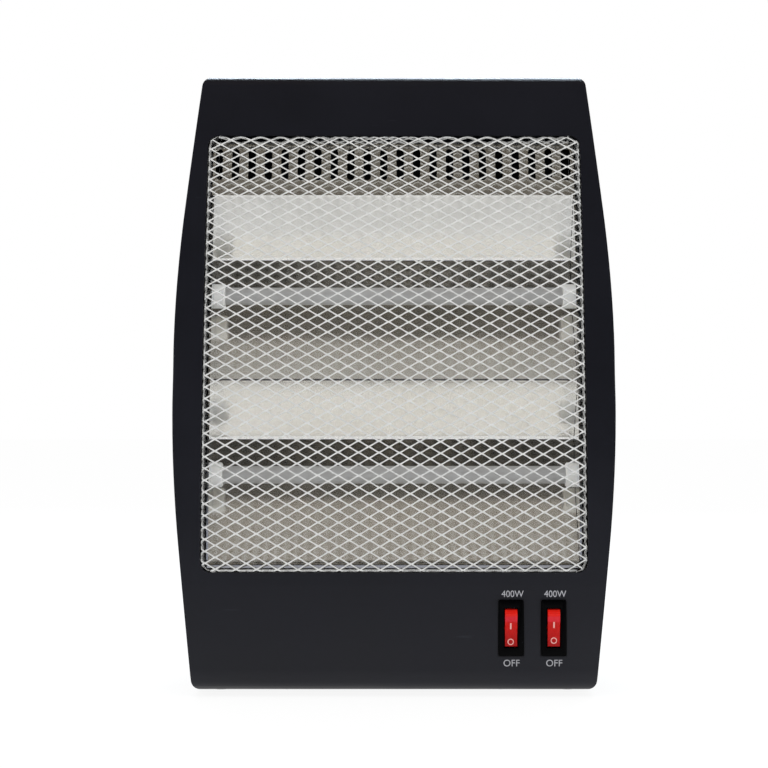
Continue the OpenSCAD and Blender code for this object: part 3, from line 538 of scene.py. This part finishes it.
# Moulded PBT of the microswitch: mid blue, satin
bluePbt = grainedFinish("mouldedPbtBlue", {
    "colour": "#2f5d8c", "shade": "#264d76", "grain": 0.5, "mottle": 7,
    "rough": (0.32, 0.45), "relief": 0.01,
    "shader": {"IOR": 1.57},
})

# Moulded natural nylon of the terminal block and the plunger: ivory, a little translucent
naturalNylon = grainedFinish("mouldedNylonNatural", {
    "colour": "#e8e4d6", "shade": "#d8d2c0", "grain": 0.6, "mottle": 8,
    "rough": (0.35, 0.5), "relief": 0.01,
    "shader": {
        "IOR": 1.53,
        "Subsurface Weight": 0.2, "Subsurface Radius": (0.002, 0.0018, 0.0014), "Subsurface Scale": 0.5,
    },
})

# Drawn spring steel of the lever and the spring: bright grey
springSteel = grainedFinish("drawnSpringSteel", {
    "colour": "#a9abad", "shade": "#86888b", "grain": 0.3, "mottle": 5,
    "rough": (0.22, 0.35), "relief": 0.005,
    "shader": {"Metallic": 1.0},
})

# Zinc-plated screws: silver, with the plating's fine unevenness
screwZinc = grainedFinish("zincPlatedScrew", {
    "colour": "#c9cccd", "shade": "#a3a7a9", "grain": 0.25, "mottle": 2.5,
    "rough": (0.25, 0.42), "relief": 0.006,
    "shader": {"Metallic": 1.0},
})

# Moulded rubber feet: matt charcoal with a dusty bloom
rubber = grainedFinish("mouldedRubber", {
    "colour": "#2b2b2c", "shade": "#1f1f20", "grain": 0.5, "mottle": 5,
    "rough": (0.7, 0.85), "relief": 0.03,
    "shader": {"Sheen Weight": 0.15, "Sheen Roughness": 0.6},
})

# Pad-printed inks: a cool grey, and a white thin enough for the red to show through
labelInk = grainedFinish("padPrintInkGrey", {
    "colour": "#acacb1", "shade": "#9d9da2", "grain": 0.4, "mottle": 3,
    "rough": (0.45, 0.6), "relief": 0.004,
})
markInk = grainedFinish("padPrintInkWhite", {
    "colour": "#eab4ac", "shade": "#dda39b", "grain": 0.4, "mottle": 3,
    "rough": (0.35, 0.5), "relief": 0.004,
})

finishes = {
    "front_housing": housingAbs, "rear_housing": housingAbs, "base_plate": housingAbs,
    "rubber_feet": rubber, "guard_mesh": guardZinc,
    "reflector_upper": reflectorAluminium, "reflector_lower": reflectorAluminium,
    "bracket_left": brightSheet, "bracket_right": brightSheet, "heat_shield": shieldSteel,
    "quartz_tube_upper": quartz, "quartz_tube_lower": quartz,
    "heating_coil_upper": resistanceWire, "heating_coil_lower": resistanceWire,
    "ceramic_caps_upper": steatite, "ceramic_caps_lower": steatite, "tube_terminals": brass,
    "switch_housing_left": blackPolyamide, "switch_housing_right": blackPolyamide,
    "rocker_left": redPolycarbonate, "rocker_right": redPolycarbonate, "switch_blades": brass,
    "thermal_cutout": phenolic, "terminal_block": naturalNylon, "wiring_loom": sleeving,
    "cord_inlet_bush": blackPolyamide, "tilt_switch_frame": sheetZinc, "tilt_microswitch": bluePbt,
    "tilt_lever": springSteel, "tilt_plunger": naturalNylon, "tilt_spring": springSteel,
    "housing_screws": screwZinc, "base_screws": screwZinc,
    "bracket_screws": screwZinc, "shield_screws": screwZinc,
}
for name, material in finishes.items():
    for slot in nodes[name].material_slots:
        slot.material = material
# the reflectors' rolled finish breaks up the images of the tubes, so none is drawn
for name in ("quartz_tube_upper", "quartz_tube_lower", "heating_coil_upper", "heating_coil_lower"):
    nodes[name].visible_glossy = False
print("finishes:", len(set(finishes.values())))


# the housing's form, from the front face's arc and the sides' bulge
housing = {
    "leanBack": 81.1, "leanFrom": 23,  # the front face follows an arc that stands upright at this height
    "bulgeRadius": 985, "bulgeHalfHeight": 95,
    "cornerRadius": 6, "topFrontRadius": 9, "bottomFrontRadius": 10, "rearRadius": 12,
    "inset": 0.15,  # the rounded skin lies this far inside the CAD's, so that nothing coincides
    "frontEdge": 2.5, "rearEdge": 4, "edgeSegments": 5,
    "faceLevels": 28, "arcLevels": 7,
}
frontLow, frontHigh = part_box("front_housing")
bodyFloor, bodyTop = frontLow.z / mm, frontHigh.z / mm
bodyFront, bodyBack = frontLow.y / mm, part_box("rear_housing")[1].y / mm
bodyHalf = frontHigh.x / mm
leanRadius = ((bodyTop - housing["leanFrom"]) ** 2 + housing["leanBack"] ** 2) / (2 * housing["leanBack"])
bulgeRun = math.sqrt(housing["bulgeRadius"] ** 2 - housing["bulgeHalfHeight"] ** 2)
bulgeSlope = housing["bulgeHalfHeight"] / bulgeRun  # of the straight side past the arc's end


def faceDepth(z, inset=0):  # depth of the front face at a height
    return bodyFront + leanRadius - math.sqrt((leanRadius - inset) ** 2 - (z - housing["leanFrom"]) ** 2)


def halfWidth(z):  # half width of the body: an arc, and straight past it
    radius = housing["bulgeRadius"]
    dz = abs(z - (bodyFloor + bodyTop) / 2)
    arc = min(dz, housing["bulgeHalfHeight"])
    return bodyHalf - radius + math.sqrt(radius ** 2 - arc ** 2) - bulgeSlope * (dz - arc)


def sideAt(z, inset):  # half width, with the corners rounded at the top and bottom
    r = housing["cornerRadius"] - inset
    for centre, way in ((bodyTop - inset - r, 1), (bodyFloor + inset + r, -1)):
        up = (z - centre) * way
        if up > r * math.sin(math.atan(bulgeSlope)):
            hub = halfWidth(centre) - inset - r * math.hypot(1, bulgeSlope)
            return hub + math.sqrt(max(r * r - up * up, 0))
    return halfWidth(z) - inset


def frontAt(z, inset):  # depth of the front, with its top and bottom edges rounded
    ends = (
        (housing["topFrontRadius"] - inset, bodyTop, 1),
        (housing["bottomFrontRadius"] - inset, bodyFloor, -1),
    )
    hub = bodyFront + leanRadius
    for radius, centre, way in ends:
        centre -= way * (radius + inset)
        middle = faceDepth(centre, radius + inset)
        up = centre - housing["leanFrom"]
        touch = housing["leanFrom"] + up * (leanRadius - inset) / math.hypot(middle - hub, up)
        if (z - touch) * way > 0:
            return middle - math.sqrt(max(radius ** 2 - (z - centre) ** 2, 0))
    return faceDepth(z, inset)


def backAt(z, inset):  # depth of the back, with its top and bottom edges rounded
    r = housing["rearRadius"] - inset
    over = max(z - (bodyTop - inset - r), bodyFloor + inset + r - z, 0)
    return bodyBack - inset - r + math.sqrt(max(r * r - over * over, 0))


def skinLevels(low, high):  # heights that the skin is cut at: close together where its ends round off
    steps, deep = housing["arcLevels"], housing["rearRadius"]
    arc = [1 - math.cos(math.pi / 2 * i / steps) for i in range(1, steps + 1)]
    inner = (high - low - 2 * deep) / housing["faceLevels"]
    levels = [low + deep * a for a in arc] + [high - deep * a for a in arc]
    return levels + [low + deep + inner * i for i in range(1, housing["faceLevels"])]


def makeSkin():  # a solid of the whole body with rounded edges, cut to levels and then drawn in to the form
    inset = housing["inset"]
    low, high = bodyFloor + inset, bodyTop - inset
    halfX, front, back = bodyHalf - inset, bodyFront + inset, bodyBack - inset
    deselect()
    bpy.ops.mesh.primitive_cube_add(size=1, location=(0, (front + back) / 2 * mm, (low + high) / 2 * mm))
    skin = added("skin")
    stretch(skin, (2 * halfX, back - front, high - low))
    for way, radius in ((-1, housing["frontEdge"]), (1, housing["rearEdge"])):
        def upright(edge):
            a, b = edgeEnds(skin, edge)
            return a.y * way > 0 and (a.xy - b.xy).length < close
        bevelEdges(skin, upright, radius, housing["edgeSegments"])
    openWhole(skin)
    for z in skinLevels(low, high):
        cutAll((0, 0, z), (0, 0, 1))
    closeEdit()
    for vertex in skin.data.vertices:
        z = min(max(vertex.co.z / mm, low), high)
        vertex.co.x += math.copysign((sideAt(z, inset) - halfX) * mm, vertex.co.x)
        vertex.co.y += ((frontAt(z, inset) - front) if vertex.co.y < 0 else (backAt(z, inset) - back)) * mm
    return skin


skin = makeSkin()
for node, name in (("front_housing", "frontShell"), ("rear_housing", "rearShell")):
    shell = cadCopy(node, name)
    modify(shell, "BOOLEAN", operation="INTERSECT", solver="EXACT", object=skin)
    evenOut(shell)
    settle(shell, "heater", housingAbs, "housing", node)
    print(name, len(shell.data.polygons), "faces")
bpy.data.objects.remove(skin)


# the reflectors, with rounded bends
reflectors = {
    "bendRadius": 1.6, "bendSegments": 4, "bendTurns": (12, 75),  # degrees between the faces of a bend
    "ventShift": -1.2, "ventReach": 99,  # the vents were punched a little to the left
    "ventBand": 32,  # they lie this near to the top edge
    "endFrom": -102, "endShift": -1.0,  # the left end runs into its side plate
}
for node, name in (("reflector_upper", "upperReflector"), ("reflector_lower", "lowerReflector")):
    sheet = cadCopy(node, name)
    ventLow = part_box(node)[1].z / mm - reflectors["ventBand"]
    for vertex in sheet.data.vertices:
        x, z = vertex.co.x / mm, vertex.co.z / mm
        if abs(x) < reflectors["ventReach"] and z > ventLow:
            vertex.co.x += reflectors["ventShift"] * mm
        elif x < reflectors["endFrom"]:
            vertex.co.x += reflectors["endShift"] * mm
    beside = {}  # the normals on both sides of each edge
    for face in sheet.data.polygons:
        for key in face.edge_keys:
            beside.setdefault(key, []).append(face.normal)

    def isBend(edge):
        a, b = edgeEnds(sheet, edge)
        around = beside[tuple(sorted(edge.vertices))]
        if (a.yz - b.yz).length >= close or len(around) != 2:
            return False
        low, high = reflectors["bendTurns"]
        return low < math.degrees(around[0].angle(around[1])) < high

    bevelEdges(sheet, isBend, reflectors["bendRadius"], reflectors["bendSegments"])
    evenOut(sheet)
    settle(sheet, "heater", reflectorAluminium, "reflector", node)
    print(name, len(sheet.data.polygons), "faces")


# the guard of expanded metal: its pattern is laid out flat, trimmed, given its thickness and folded.
# Flat, x runs across the sheet, z up it from where the front face stands upright, and y into it
guard = {
    "longPitch": 11.4, "shortPitch": 6.5,  # of the diamonds, across and up the sheet
    "knuckle": (0.98, 0.41),  # half length and half height of a crossing
    "strandShare": 0.68,  # width of a strand at its middle, as a share of its root
    "sheet": 0.8, "weld": 0.02,
    "tilt": 0.15, "tiltWithin": 0.3,  # each strand's upper edge lies back, as cutting leaves it
    "recess": 0.6, "flange": 19.4, "topFlange": 7.2, "foldRadius": 1.1, "cornerRadius": 5.5,
    # degrees past square that each flange is folded
    "leans": {"left": 1.5, "right": 4.5, "top": 28, "bottom": 0},
    "shiftX": 2.5, "shiftZ": -3.35,  # of the pattern against the middle of the guard
    # the sheet was pulled askew: its rows fall to the right by these slopes, at its bottom and its top,
    "rowSlope": (0.0045, 0.025),
    # and its columns bow to the right, by columnBow at bowReach from a height bowCentre above its middle
    "columnBow": 1.0, "bowReach": 151, "bowCentre": 55,
}
guardLow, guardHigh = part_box("guard_mesh")


def alongFace(z):  # length along the front face from where it stands upright
    return leanRadius * math.asin((z - housing["leanFrom"]) / leanRadius)


guardHalf = guardHigh.x / mm
guardBottom, guardTop = guardLow.z / mm, guardHigh.z / mm
sheetBottom, sheetTop = alongFace(guardBottom), alongFace(guardTop)
sheetMiddle, sheetHalf = (sheetBottom + sheetTop) / 2, (sheetTop - sheetBottom) / 2
blankX, blankZ = guardHalf + guard["flange"], sheetHalf + guard["flange"]
notchX = guardHalf - guard["cornerRadius"]


def makeCrossing():  # one crossing with its four half strands, seen from the front
    a, b = guard["longPitch"] / 4 * mm, guard["shortPitch"] / 4 * mm
    halfL, halfH = (k * mm for k in guard["knuckle"])
    deselect()
    bpy.ops.mesh.primitive_circle_add(vertices=4, radius=1, fill_type="NGON", rotation=(math.pi / 2, 0, 0))
    crossing = added("guardMesh")
    stretch(crossing, (*guard["knuckle"], 1))
    for sx, sz in ((1, 1), (-1, 1), (-1, -1), (1, -1)):
        def rootEdge(edge):
            middle = sum(edgeEnds(crossing, edge), Vector()) / 2
            return (middle - Vector((sx * halfL / 2, 0, sz * halfH / 2))).length < guard["weld"] * mm
        choose(crossing, "EDGE", rootEdge)
        reach = (sx * (a - halfL / 2), 0, sz * (b - halfH / 2))
        bpy.ops.mesh.extrude_region_move(TRANSFORM_OT_translate={"value": reach})
        bpy.ops.transform.resize(value=(guard["strandShare"],) * 3, center_override=(sx * a, 0, sz * b))
        closeEdit()
    for vertex in crossing.data.vertices:
        z = vertex.co.z / mm
        strand = min((guard["shortPitch"] / 4 * k for k in (-1, 0, 1)), key=lambda level: abs(z - level))
        vertex.co.y = guard["tilt"] * mm * max(-1, min(1, (z - strand) / guard["tiltWithin"]))
    return crossing


def layPattern():  # the crossings in rows and columns, past the blank on all sides
    a, b = guard["longPitch"], guard["shortPitch"]
    columns = 2 * math.ceil(blankX / a) + 3
    rows = 2 * math.ceil(blankZ / b) + 3
    mesh = makeCrossing()
    openWhole(mesh)
    bpy.ops.mesh.duplicate_move(TRANSFORM_OT_translate={"value": (a / 2 * mm, 0, b / 2 * mm)})
    bpy.ops.mesh.select_all(action="SELECT")
    startX = -(columns - 1) / 2 * a + guard["shiftX"]
    startZ = sheetMiddle - (rows - 1) / 2 * b + guard["shiftZ"]
    bpy.ops.transform.translate(value=Vector((startX, 0, startZ)) * mm)
    closeEdit()
    for count, offset in ((columns, (a * mm, 0, 0)), (rows, (0, 0, b * mm))):
        modify(
            mesh, "ARRAY", count=count, use_relative_offset=False, use_constant_offset=True,
            constant_offset_displace=offset, use_merge_vertices=True, merge_threshold=guard["weld"] * mm,
        )
    low, high = guard["rowSlope"]
    for vertex in mesh.data.vertices:  # pulled askew
        x, s = vertex.co.x / mm, vertex.co.z / mm - sheetMiddle
        share = min(max(s / (2 * sheetHalf) + 0.5, 0), 1)
        vertex.co.z -= x * (low + (high - low) * share) * mm
        vertex.co.x += guard["columnBow"] * ((s - guard["bowCentre"]) / guard["bowReach"]) ** 2 * mm
    return mesh


def trimBlank(mesh):  # to its edges, with creases along the folds, and notched at its corners
    openWhole(mesh)
    cutAll((blankX, 0, 0), (1, 0, 0), trim=True)
    cutAll((-blankX, 0, 0), (-1, 0, 0), trim=True)
    cutAll((0, 0, sheetMiddle + sheetHalf + guard["topFlange"]), (0, 0, 1), trim=True)
    cutAll((0, 0, sheetMiddle - blankZ), (0, 0, -1), trim=True)
    radius = guard["foldRadius"]
    bend = math.pi / 2 * radius
    for along in (-radius, bend / 2 - radius, 0, bend - radius):
        for way in (-1, 1):
            cutAll((way * (guardHalf + along), 0, 0), (1, 0, 0))
            cutAll((0, 0, sheetMiddle + way * (sheetHalf + along)), (0, 0, 1))
    for way in (-1, 1):
        cutAll((way * notchX, 0, 0), (1, 0, 0))
    closeEdit()

    def inNotch(face):
        return abs(face.center.x) > notchX * mm and abs(face.center.z / mm - sheetMiddle) > sheetHalf

    choose(mesh, "FACE", inNotch)
    bpy.ops.mesh.delete(type="FACE")
    bpy.ops.mesh.select_all(action="SELECT")
    bpy.ops.mesh.remove_doubles(threshold=guard["weld"] * mm)
    closeEdit()


# how far out and how deep a point comes that lies t into the sheet and along past the start of a fold
def folded(along, t, side):
    if along <= 0:
        return along, t
    radius = guard["foldRadius"]
    lean = math.radians(90 + guard["leans"][side])
    turn = min(along / radius, lean)
    rest = max(along - radius * lean, 0)
    out = (radius - t) * math.sin(turn) + rest * math.cos(turn)
    depth = radius - (radius - t) * math.cos(turn) + rest * math.sin(turn)
    return out, depth


def foldBlank(mesh):  # bent to the face's arc, with the flanges folded back and the corners rounded
    r, radius = guard["cornerRadius"], guard["foldRadius"]
    for vertex in mesh.data.vertices:
        x, t, s = vertex.co / mm
        beyond = abs(s - sheetMiddle) - (sheetHalf - radius)
        if beyond > 0 and abs(x) <= notchX + close / mm:
            side, edge, way = ("top", guardTop, 1) if s > sheetMiddle else ("bottom", guardBottom, -1)
            out, depth = folded(beyond, t, side)
            seat = faceDepth(edge) + guard["recess"]
            vertex.co = Vector((x, seat + depth, edge + (out - radius) * way)) * mm
            continue
        z = housing["leanFrom"] + leanRadius * math.sin(s / leanRadius)
        into = max(r - min(guardTop - z, z - guardBottom), 0)
        edge = guardHalf - r + math.sqrt(max(r * r - into * into, 0))
        along = abs(x) - (edge - radius)
        if along > 0:
            along *= (guard["flange"] + radius) / (blankX - edge + radius)
        out, depth = folded(along, t, "right" if x > 0 else "left")
        wide = abs(x) if along <= 0 else edge - radius + out
        vertex.co = Vector((math.copysign(wide, x), faceDepth(z) + guard["recess"] + depth, z)) * mm


guardMesh = layPattern()
trimBlank(guardMesh)
modify(guardMesh, "SOLIDIFY", thickness=guard["sheet"] * mm, offset=-1, use_even_offset=False)
foldBlank(guardMesh)
openWhole(guardMesh)
bpy.ops.mesh.normals_make_consistent(inside=False)
closeEdit()
settle(guardMesh, "heater", guardZinc, "guard_wire", "guard_mesh")
print("guard", len(guardMesh.data.polygons), "faces")


# the rocker switches and their print
switch = {
    "soften": 0.35, "rockerSoften": 0.8, "rockerWidth": 0.94,
    # the rocker's crest is its long front edge, farther than crestFrom from its lower front corner
    "upperRounding": 3.6, "crestLong": 5, "crestFrom": 8, "crestWithin": 0.3,
    "prints": {
        "400W": {"size": (12.2, 3.6), "place": (0.9, 56.9)},
        "OFF": {"size": (8.9, 3.7), "place": (0.3, 18.8)},
    },
    "print": 0.08,  # thickness of the ink, thicker than the real 0.02 to be solid
    "turn": 22,
    "pivotBack": 4.2, "face": 4,  # the pivot's way back from the flange, and from there forward to the face
    "barSize": (0.8, 3.7), "barUp": 1.1, "barRounding": 0.06,
    "ringRadius": 1.5, "ringWidth": 0.5, "ringDown": 7.6,
    "markShift": {"left": (-0.25, 0), "right": (0.05, 0.7)},  # the marks aren't printed quite alike
}


def soften(piece, width):
    modify(
        piece, "BEVEL", width=width * mm, segments=3, limit_method="ANGLE",
        angle_limit=math.radians(32), use_clamp_overlap=True,
    )
    smooth(piece)


def makeWord(name, word, size):  # a word as a thin solid that faces -Y, centred on the origin
    deselect()
    bpy.ops.object.text_add()
    text = added(name)
    text.data.body = word
    text.data.extrude = 0.5  # any depth does, as the fit below sets it
    text.data.resolution_u = 4
    bpy.ops.object.convert(target="MESH")
    piece = bpy.context.object
    spots = [v.co for v in piece.data.vertices]
    low = Vector([min(c[i] for c in spots) for i in range(3)])
    high = Vector([max(c[i] for c in spots) for i in range(3)])
    span = high - low
    fit = Matrix.Diagonal((size[0] * mm / span.x, size[1] * mm / span.y, switch["print"] * mm / span.z, 1))
    placeMesh(piece, Matrix.Rotation(math.pi / 2, 4, "X") @ fit @ Matrix.Translation(-(low + high) / 2))
    return piece


def onFace(x, z):  # a place on the front face, tilted with it
    tilt = -math.asin((z - housing["leanFrom"]) / leanRadius)
    spot = Vector((x, faceDepth(z, housing["inset"]), z)) * mm
    return Matrix.Translation(spot) @ Matrix.Rotation(tilt, 4, "X")


def makeRocker(side):
    rocker = cadCopy("rocker_" + side, side + "Rocker")
    low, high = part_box("rocker_" + side)
    middle = (low.x + high.x) / 2
    for vertex in rocker.data.vertices:
        vertex.co.x = middle + (vertex.co.x - middle) * switch["rockerWidth"]

    def crest(edge):  # the long edge between the raised end and the face
        a, b = edgeEnds(rocker, edge)
        level = (a.yz - b.yz).length < close and abs(a.x - b.x) > switch["crestLong"] * mm
        upper = (a.yz - low.yz).length > switch["crestFrom"] * mm
        return level and upper and a.y < low.y + switch["crestWithin"] * mm

    bevelEdges(rocker, crest, switch["upperRounding"], segments=6)
    soften(rocker, switch["rockerSoften"])
    settle(rocker, "rocker_" + side, redPolycarbonate, "rocker_red", "rocker_" + side)


def makeMarks(side, pivot):  # the bar and the ring printed on a rocker's face
    half = math.radians(switch["turn"] / 2)
    markX, markZ = switch["markShift"][side]
    valleyY, valleyZ = -switch["face"] * math.cos(half), -switch["face"] * math.sin(half)

    deselect()
    bpy.ops.mesh.primitive_cube_add(size=1)
    bar = added(side + "OnMark")
    stretch(bar, (switch["barSize"][0], 2 * switch["print"], switch["barSize"][1]))
    modify(bar, "BEVEL", width=switch["barRounding"] * mm, segments=2)
    barUp = switch["barUp"] + markZ
    spot = Vector((markX, valleyY - (barUp - valleyZ) * math.tan(2 * half), barUp))
    placeMesh(bar, Matrix.Translation((pivot + spot) * mm) @ Matrix.Rotation(2 * half, 4, "X"))
    settle(bar, "rocker_" + side, markInk, "rocker_red")

    deselect()
    bpy.ops.mesh.primitive_torus_add(
        major_segments=48, minor_segments=8,
        major_radius=switch["ringRadius"] * mm, minor_radius=switch["ringWidth"] / 2 * mm,
    )
    ring = added(side + "OffMark")
    flat = Matrix.Diagonal((1, 1, 4 * switch["print"] / switch["ringWidth"], 1))
    spot = Vector((markX, valleyY, markZ - switch["ringDown"]))
    placeMesh(ring, Matrix.Translation((pivot + spot) * mm) @ Matrix.Rotation(math.pi / 2, 4, "X") @ flat)
    smooth(ring)
    settle(ring, "rocker_" + side, markInk, "rocker_red")


for side in ("left", "right"):
    bezel = cadCopy("switch_housing_" + side, side + "SwitchBody")
    soften(bezel, switch["soften"])
    settle(bezel, "heater", blackPolyamide, "switch_black", "switch_housing_" + side)
    makeRocker(side)
    low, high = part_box("switch_housing_" + side)
    x = (low.x + high.x) / 2 / mm
    for word, look in switch["prints"].items():
        label = makeWord(f"{side}Label{word}", word, look["size"])
        aside, z = look["place"]
        placeMesh(label, onFace(x + aside, z))
        settle(label, "heater", labelInk, "switch_black")
    makeMarks(side, Vector((x, low.y / mm + switch["pivotBack"], (low.z + high.z) / 2 / mm)))
print("switches done")


# the left side plate, its front edge drawn forward and flared out
flare = {"forward": 0.6, "outTo": -105.8, "edgeWidth": 1.2, "kept": 0.5, "facing": -0.6}
plate = cadCopy("bracket_left", "leftPlate")
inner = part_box("bracket_left")[1].x


def frontEdge(face):
    return face.normal.y < flare["facing"] and abs(face.center.x - inner) < flare["edgeWidth"] * mm


choose(plate, "FACE", frontEdge)
bpy.ops.mesh.extrude_region_move(TRANSFORM_OT_translate={"value": (0, -flare["forward"] * mm, 0)})
closeEdit()
for vertex in plate.data.vertices:
    if vertex.select and vertex.co.x < inner - flare["kept"] * mm:
        vertex.co.x = flare["outTo"] * mm
settle(plate, "heater", brightSheet, "zinc_steel", "bracket_left")
print("side plate done")
